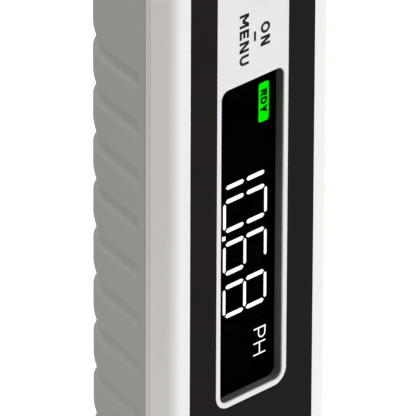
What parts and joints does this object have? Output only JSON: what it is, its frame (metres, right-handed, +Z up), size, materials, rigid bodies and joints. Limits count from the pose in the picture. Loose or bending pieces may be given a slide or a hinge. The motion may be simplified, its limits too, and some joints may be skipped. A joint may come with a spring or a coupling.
{
  "type": "ph meter",
  "caption": "Upright pen pH meter with a recessed display, a power button, ribbed soft side grips, a probe held by a collar nut, and a pull-off storage cap.",
  "frame": {"origin": "centre of the storage cap's flat base, on the probe's axis", "axes": "+Z up the pen towards the battery cap, -Y out of the display, +X to the right of the display"},
  "size_m": [0.0368, 0.026, 0.194],
  "materials": {
    "white_plastic": "satin",
    "pale_grey_plastic": "satin",
    "grey_grip": "fine matt texture",
    "black_rubber": "matt",
    "black_label": "satin",
    "light_label": "satin",
    "dark_grey_plastic": "satin",
    "clear_lens": "clear",
    "lcd_glass": "smooth",
    "white_diffuser": "matt",
    "green_board": "solder mask",
    "black_chip": "matt",
    "tan_ceramic": "fired",
    "bright_metal": "nickel plated",
    "gold_contact": "gold flash",
    "button_plastic": "satin",
    "battery_jacket": "satin",
    "cap_grey_plastic": "satin",
    "collar_plastic": "satin",
    "probe_plastic": "satin",
    "clear_glass": "clear",
    "ceramic_plug": "porous",
    "storage_cap_plastic": "satin",
    "sponge": "open cell"
  },
  "bodies": {
    "casing": {"front_shell": "white_plastic", "rear_shell": "pale_grey_plastic", "rear_grip": "grey_grip", "case_seals": "black_rubber", "label_overlay": "black_label", "label_strip": "light_label", "display_frame": "dark_grey_plastic", "window_lens": "clear_lens", "lcd_panel": "lcd_glass", "lcd_backlight": "white_diffuser", "zebra_strips": "black_rubber", "main_board": "green_board", "processor_chip": "black_chip", "amplifier_chip": "black_chip", "board_passives": "tan_ceramic", "crystal_can": "bright_metal", "button_switch": "black_chip", "board_screws": "bright_metal", "button_seal": "black_rubber", "battery_sleeve": "dark_grey_plastic", "battery": "battery_jacket", "lower_contact": "bright_metal", "probe_socket": "dark_grey_plastic", "socket_contacts": "gold_contact"},
    "power_button": {"power_button": "button_plastic"},
    "battery_cap": {"battery_cap": "cap_grey_plastic", "battery_cap_o_ring": "black_rubber", "cap_contact": "bright_metal"},
    "probe": {"probe_stem": "probe_plastic", "probe_o_ring": "black_rubber", "probe_plug": "gold_contact", "sensor_guard": "probe_plastic", "glass_electrode": "clear_glass", "glass_bulb": "clear_glass", "electrode_wire": "bright_metal", "reference_junction": "ceramic_plug", "temperature_pin": "bright_metal"},
    "collar_nut": {"collar_nut": "collar_plastic"},
    "storage_cap": {"storage_cap": "storage_cap_plastic", "storage_sponge": "sponge", "storage_cap_seal": "black_rubber"}
  },
  "joints": [
    {"name": "button_press", "type": "slide", "parent": "casing", "child": "power_button", "axis": [0, 1, 0], "range_m": [0, 0.0005], "stiffness_N_per_m": 900, "springref_m": -0.0005},
    {"name": "battery_cap_pull", "type": "slide", "parent": "casing", "child": "battery_cap", "axis": [0, 0, 1], "range_m": [0, 0.02]},
    {"name": "probe_pull", "type": "slide", "parent": "casing", "child": "probe", "axis": [0, 0, -1], "range_m": [0, 0.02]},
    {"name": "collar_turn", "type": "hinge", "parent": "probe", "child": "collar_nut", "pos_m": [0, 0, 0.038], "axis": [0, 0, 1], "range_deg": [0, 360]},
    {"name": "storage_cap_pull", "type": "slide", "parent": "probe", "child": "storage_cap", "axis": [0, 0, -1], "range_m": [0, 0.03]}
  ]
}
